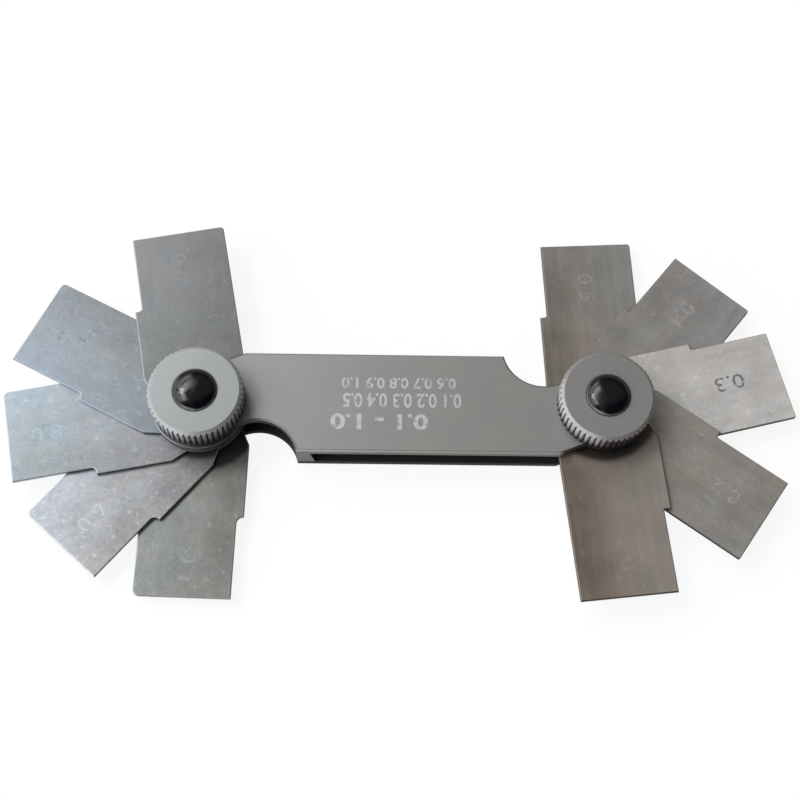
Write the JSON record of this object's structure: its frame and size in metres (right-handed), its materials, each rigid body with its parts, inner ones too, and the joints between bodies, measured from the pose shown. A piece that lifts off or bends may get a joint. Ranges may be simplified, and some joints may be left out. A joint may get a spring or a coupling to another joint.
{
  "type": "radius gauge",
  "caption": "Folding radius gauge: notched steel leaves fanned out at both ends of a flat plate holder with finger scallops, clamped by knurled nuts on domed studs.",
  "frame": {"origin": "middle of the holder's flat back face, midway between the two pivots", "axes": "+Z out of the front, where the nuts are; +X along the holder from the left pivot to the right one; +Y across the holder, upwards in the picture"},
  "size_m": [0.1207, 0.0595, 0.0119],
  "materials": {
    "holder_steel": "satin, fine ground, edges rounded",
    "blade_steel": "satin spring steel sheet with faint stains and scratches",
    "nut_steel": "satin plated, straight knurl",
    "black_stud": "blackened, dome polished"
  },
  "bodies": {
    "holder": {"back_plate": "holder_steel", "front_plate": "holder_steel", "left_stud": "black_stud", "right_stud": "black_stud"},
    "left_nut": {"left_nut": "nut_steel"},
    "right_nut": {"right_nut": "nut_steel"},
    "blade_r06": {"blade_r06": "blade_steel"},
    "blade_r01": {"blade_r01": "blade_steel"},
    "blade_r07": {"blade_r07": "blade_steel"},
    "blade_r02": {"blade_r02": "blade_steel"},
    "blade_r08": {"blade_r08": "blade_steel"},
    "blade_r03": {"blade_r03": "blade_steel"},
    "blade_r09": {"blade_r09": "blade_steel"},
    "blade_r04": {"blade_r04": "blade_steel"},
    "blade_r10": {"blade_r10": "blade_steel"},
    "blade_r05": {"blade_r05": "blade_steel"}
  },
  "joints": [
    {"name": "left_nut_turn", "type": "hinge", "parent": "holder", "child": "left_nut", "pos_m": [-0.0305, 0, 0.00645], "axis": [0, 0, 1], "range_deg": [0, 360]},
    {"name": "right_nut_turn", "type": "hinge", "parent": "holder", "child": "right_nut", "pos_m": [0.0305, 0, 0.00645], "axis": [0, 0, 1], "range_deg": [0, 360]},
    {"name": "blade_r06_swing", "type": "hinge", "parent": "holder", "child": "blade_r06", "pos_m": [-0.0305, 0, 0.0032], "axis": [0, 0, 1], "range_deg": [-95.2, 204]},
    {"name": "blade_r01_swing", "type": "hinge", "parent": "holder", "child": "blade_r01", "pos_m": [0.0305, 0, 0.0032], "axis": [0, 0, 1], "range_deg": [-90.7, 208.5]},
    {"name": "blade_r07_swing", "type": "hinge", "parent": "holder", "child": "blade_r07", "pos_m": [-0.0305, 0, 0.0032], "axis": [0, 0, 1], "range_deg": [-147.5, 151.7]},
    {"name": "blade_r02_swing", "type": "hinge", "parent": "holder", "child": "blade_r02", "pos_m": [0.0305, 0, 0.0032], "axis": [0, 0, 1], "range_deg": [-139.1, 160.1]},
    {"name": "blade_r08_swing", "type": "hinge", "parent": "holder", "child": "blade_r08", "pos_m": [-0.0305, 0, 0.0032], "axis": [0, 0, 1], "range_deg": [-185.8, 113.4]},
    {"name": "blade_r03_swing", "type": "hinge", "parent": "holder", "child": "blade_r03", "pos_m": [0.0305, 0, 0.0032], "axis": [0, 0, 1], "range_deg": [-188.2, 111]},
    {"name": "blade_r09_swing", "type": "hinge", "parent": "holder", "child": "blade_r09", "pos_m": [-0.0305, 0, 0.0032], "axis": [0, 0, 1], "range_deg": [-223.4, 75.8]},
    {"name": "blade_r04_swing", "type": "hinge", "parent": "holder", "child": "blade_r04", "pos_m": [0.0305, 0, 0.0032], "axis": [0, 0, 1], "range_deg": [-224.8, 74.4]},
    {"name": "blade_r10_swing", "type": "hinge", "parent": "holder", "child": "blade_r10", "pos_m": [-0.0305, 0, 0.0032], "axis": [0, 0, 1], "range_deg": [-262.8, 36.4]},
    {"name": "blade_r05_swing", "type": "hinge", "parent": "holder", "child": "blade_r05", "pos_m": [0.0305, 0, 0.0032], "axis": [0, 0, 1], "range_deg": [-267.3, 31.9]}
  ]
}
